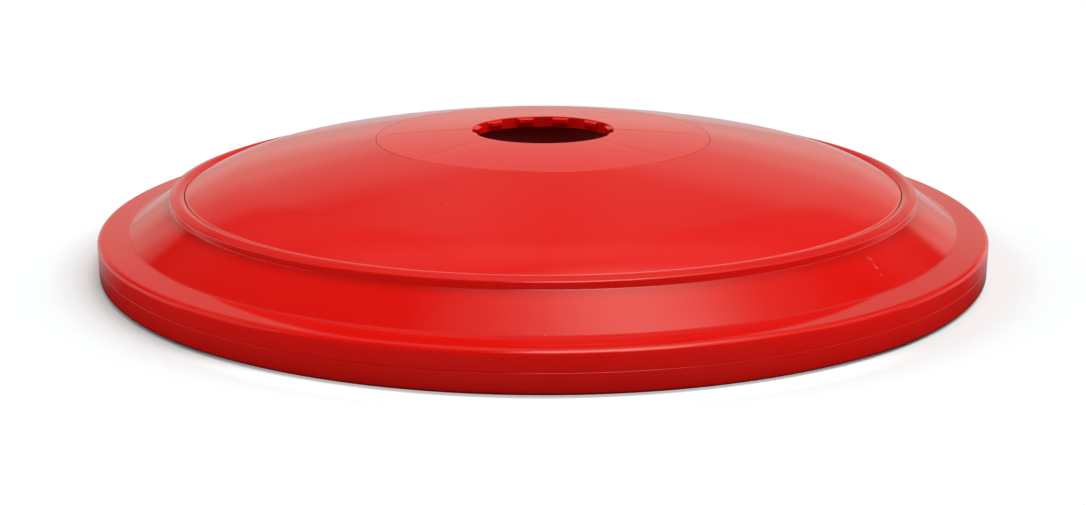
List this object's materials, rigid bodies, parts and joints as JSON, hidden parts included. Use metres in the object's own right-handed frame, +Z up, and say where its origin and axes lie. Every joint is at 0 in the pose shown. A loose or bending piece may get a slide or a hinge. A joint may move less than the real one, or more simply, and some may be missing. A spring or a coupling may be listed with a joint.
{
  "type": "sports marker disc",
  "caption": "Low domed round marker disc with a thick rim, a raised bead, and a toothed centre hole over a socket that stands a pole.",
  "frame": {"origin": "centre of the disc, on the floor that its feet stand on", "axes": "+Z up along the axis of the hole and of the pole; the disc is round, and the picture looks along +Y"},
  "size_m": [0.2, 0.2, 0.028],
  "materials": {
    "shell": "gloss, moulded",
    "pan": "gloss, moulded",
    "ballast": "as cast",
    "screw": "plated",
    "foot": "matt"
  },
  "bodies": {
    "root": {"centre_plate": "shell", "dome_panel": "shell", "skirt_ring": "shell", "base_pan": "pan", "ballast_ring": "ballast", "base_screws": "screw", "foot_pad_1": "foot", "foot_pad_2": "foot", "foot_pad_3": "foot", "foot_pad_4": "foot", "foot_pad_5": "foot", "foot_pad_6": "foot"}
  },
  "joints": []
}
